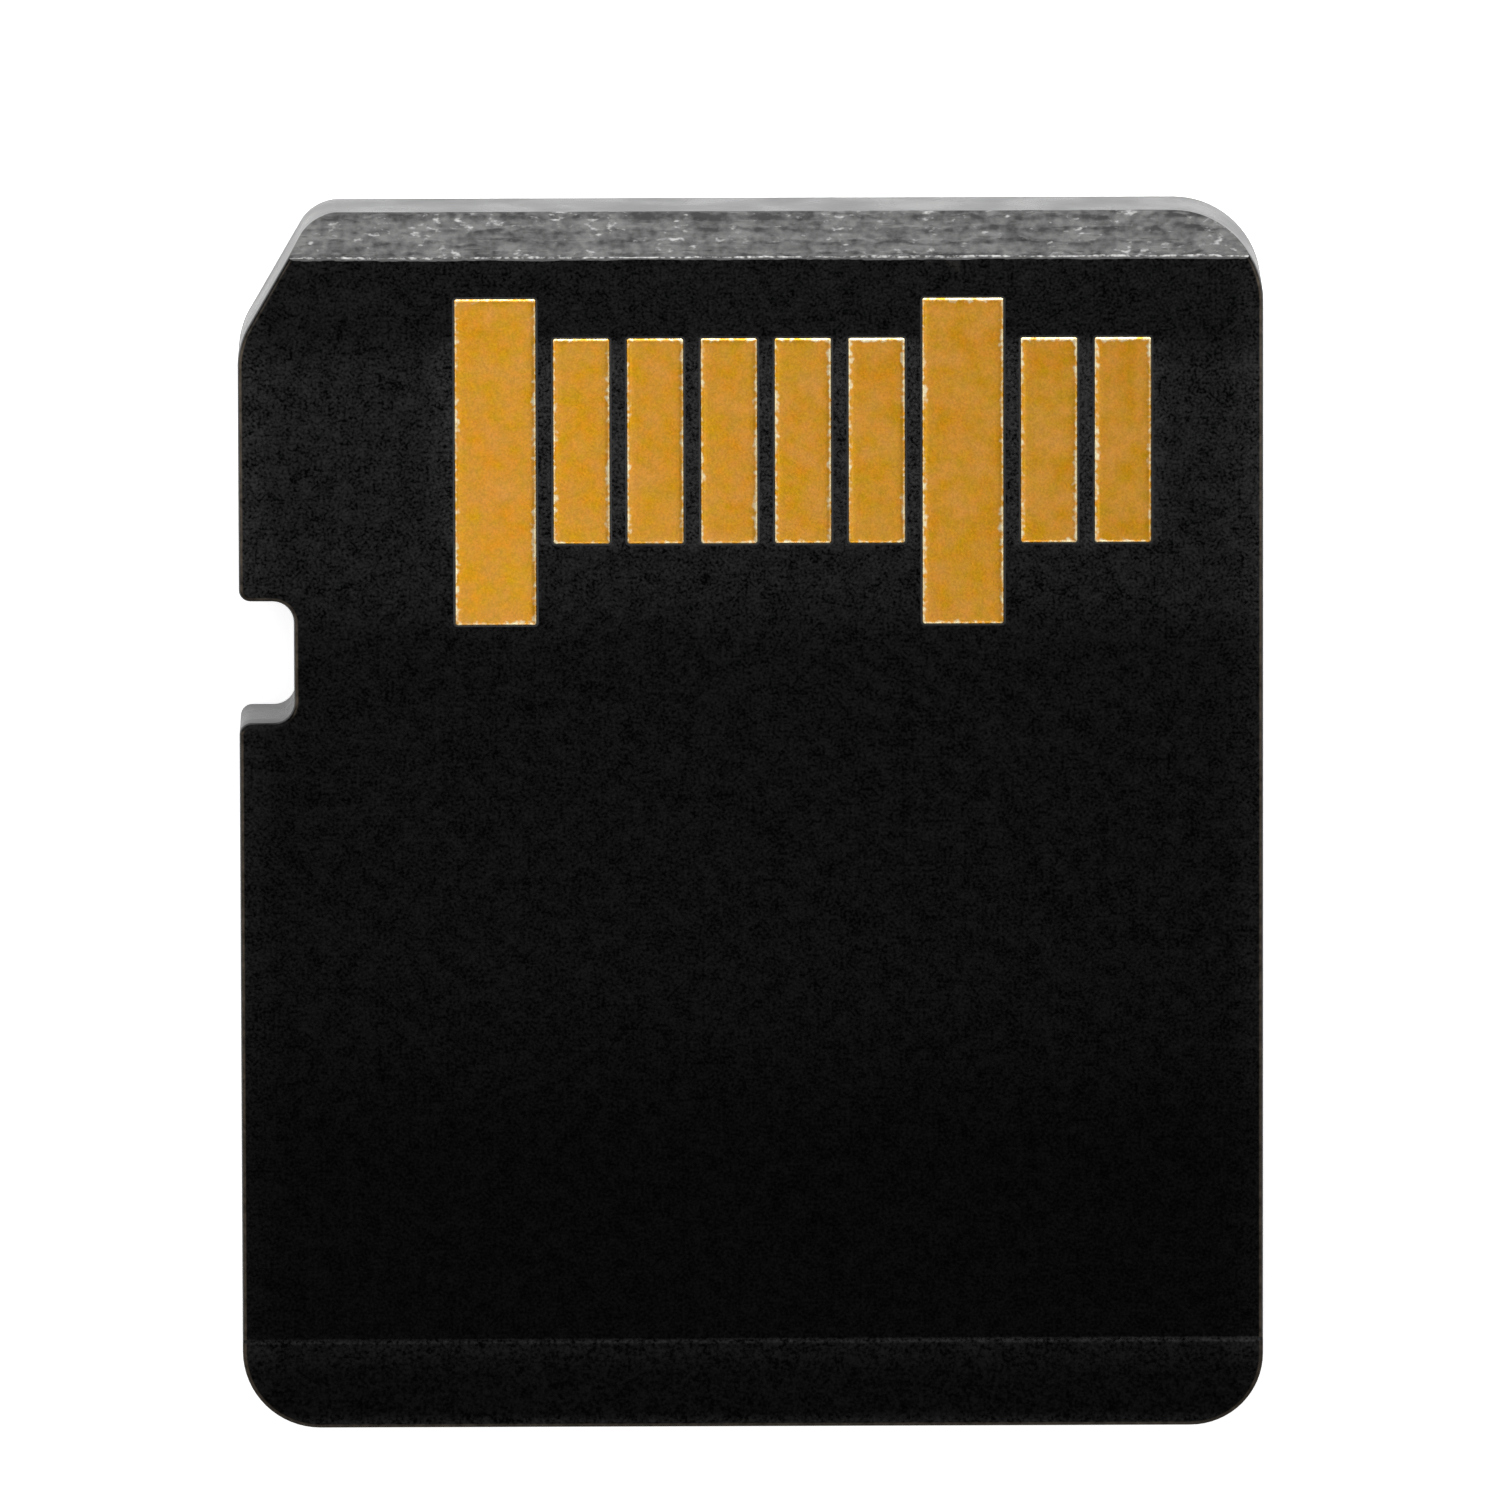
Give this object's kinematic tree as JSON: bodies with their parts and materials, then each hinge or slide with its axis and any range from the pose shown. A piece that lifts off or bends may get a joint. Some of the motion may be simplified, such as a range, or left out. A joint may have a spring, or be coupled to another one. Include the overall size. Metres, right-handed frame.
{
  "type": "console memory card",
  "caption": "Thin removable memory card: black moulded body over a glass-fibre board, bevelled leading edge, cut key corner, side notch and a row of gold contacts.",
  "frame": {"origin": "centre of the label side, on the surface that the card lies on", "axes": "+Y along the card towards its leading, contact end; +Z out of the contact side; +X across the card, away from the cut corner and the notch"},
  "size_m": [0.0126, 0.015, 0.0016],
  "materials": {
    "moulding_compound": "satin black filled epoxy",
    "glass_laminate": "ground woven glass in dark resin",
    "black_mask": "fine-grained satin film",
    "gold_plating": "satin gold plate",
    "silicon": "polished silicon",
    "bonding_film": "adhesive film",
    "gold_wire": "drawn gold wire",
    "capacitor_ceramic": "fired ceramic with tinned ends"
  },
  "bodies": {
    "root": {"capacitor_1": "capacitor_ceramic", "capacitor_2": "capacitor_ceramic", "capacitor_3": "capacitor_ceramic", "capacitor_4": "capacitor_ceramic", "capacitor_5": "capacitor_ceramic", "circuit_board": "glass_laminate", "contact_1": "gold_plating", "contact_2": "gold_plating", "contact_3": "gold_plating", "contact_4": "gold_plating", "contact_5": "gold_plating", "contact_6": "gold_plating", "contact_7": "gold_plating", "contact_8": "gold_plating", "contact_9": "gold_plating", "controller_bond_wires": "gold_wire", "controller_die": "silicon", "controller_film": "bonding_film", "memory_bond_wires": "gold_wire", "memory_die_1": "silicon", "memory_die_2": "silicon", "memory_film_1": "bonding_film", "memory_film_2": "bonding_film", "moulded_body": "moulding_compound", "solder_mask": "black_mask"}
  },
  "joints": []
}
